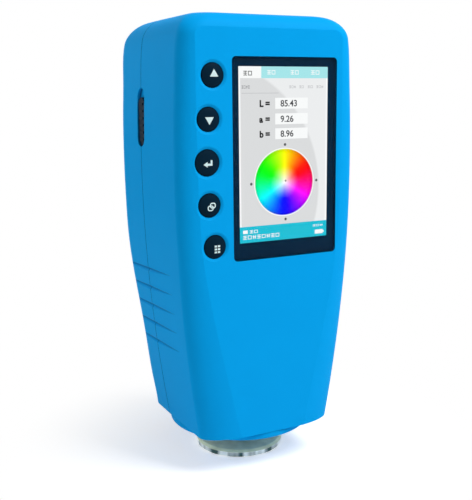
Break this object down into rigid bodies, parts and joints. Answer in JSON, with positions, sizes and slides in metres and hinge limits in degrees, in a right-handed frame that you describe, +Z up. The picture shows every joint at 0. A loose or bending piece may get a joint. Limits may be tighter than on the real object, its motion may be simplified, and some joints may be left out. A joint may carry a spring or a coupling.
{
  "type": "portable colorimeter",
  "caption": "Hand-held colorimeter that stands on its measuring ring: blue barrel case in two shells, display, bowed column of round keys, ribbed side slider.",
  "frame": {"origin": "centre of the measuring opening, in the ring's underside, on which the instrument stands", "axes": "+Z up the case, -Y out of the front face with the display, +X to the right of someone facing it"},
  "size_m": [0.0903, 0.0798, 0.2055],
  "materials": {
    "case_blue": "fine-textured moulded ABS, bright blue",
    "cover_glass": "clear cover glass with a printed black border",
    "lcd_panel": "lit colour display",
    "ribbon_amber": "polyimide flat cable",
    "circuit_board": "green solder mask",
    "black_component": "moulded epoxy",
    "black_moulding": "moulded black ABS",
    "bright_steel": "pressed nickel-plated steel",
    "cell_wrap": "shrink wrap over the cell",
    "ring_chrome": "turned, satin on top and polished on the rim",
    "neck_black": "moulded black ABS",
    "sphere_white": "white diffuse coating",
    "lens_glass": "polished",
    "lamp_resin": "clear epoxy lamp",
    "insert_brass": "knurled",
    "key_black": "moulded black, satin",
    "screw_steel": "zinc plated"
  },
  "bodies": {
    "case": {"battery_cell": "cell_wrap", "battery_contacts": "bright_steel", "battery_door": "case_blue", "battery_holder": "black_moulding", "board_chips": "black_component", "board_header": "black_component", "board_screws": "screw_steel", "buzzer": "black_component", "case_screws": "screw_steel", "clock_cell": "bright_steel", "display_glass": "cover_glass", "door_screw": "screw_steel", "front_shell": "case_blue", "key_switches": "black_component", "keypad_board": "circuit_board", "keypad_screws": "screw_steel", "lamps": "lamp_resin", "lcd_bracket": "bright_steel", "lcd_module": "lcd_panel", "lcd_ribbon": "ribbon_amber", "lcd_screws": "screw_steel", "main_board": "circuit_board", "measure_board": "circuit_board", "measure_screws": "screw_steel", "measure_switch": "black_component", "measuring_ring": "ring_chrome", "neck_screws": "screw_steel", "neck_tube": "neck_black", "power_board": "circuit_board", "power_screws": "screw_steel", "power_switch": "black_component", "rear_shell": "case_blue", "screw_inserts": "insert_brass", "sensor_board": "circuit_board", "sensor_chip": "black_component", "sensor_lens": "lens_glass", "sensor_tube": "black_moulding", "sphere_lower": "sphere_white", "sphere_screws": "screw_steel", "sphere_upper": "sphere_white", "usb_port": "bright_steel"},
    "up_key": {"up_key": "key_black"},
    "down_key": {"down_key": "key_black"},
    "enter_key": {"enter_key": "key_black"},
    "back_key": {"back_key": "key_black"},
    "menu_key": {"menu_key": "key_black"},
    "measure_key": {"measure_key": "key_black"},
    "power_slider": {"power_slider": "key_black"}
  },
  "joints": [
    {"name": "up_key_press", "type": "slide", "parent": "case", "child": "up_key", "axis": [0, 1, 0], "range_m": [0, 0.0006], "stiffness_N_per_m": 2500, "springref_m": -0.0002},
    {"name": "down_key_press", "type": "slide", "parent": "case", "child": "down_key", "axis": [0, 1, 0], "range_m": [0, 0.0006], "stiffness_N_per_m": 2500, "springref_m": -0.0002},
    {"name": "enter_key_press", "type": "slide", "parent": "case", "child": "enter_key", "axis": [0, 1, 0], "range_m": [0, 0.0006], "stiffness_N_per_m": 2500, "springref_m": -0.0002},
    {"name": "back_key_press", "type": "slide", "parent": "case", "child": "back_key", "axis": [0, 1, 0], "range_m": [0, 0.0006], "stiffness_N_per_m": 2500, "springref_m": -0.0002},
    {"name": "menu_key_press", "type": "slide", "parent": "case", "child": "menu_key", "axis": [0, 1, 0], "range_m": [0, 0.0006], "stiffness_N_per_m": 2500, "springref_m": -0.0002},
    {"name": "measure_key_press", "type": "slide", "parent": "case", "child": "measure_key", "axis": [-1, 0, 0], "range_m": [0, 0.0008], "stiffness_N_per_m": 2500, "springref_m": -0.0002},
    {"name": "power_slide", "type": "slide", "parent": "case", "child": "power_slider", "axis": [0, 0, 1], "range_m": [0, 0.004]}
  ]
}
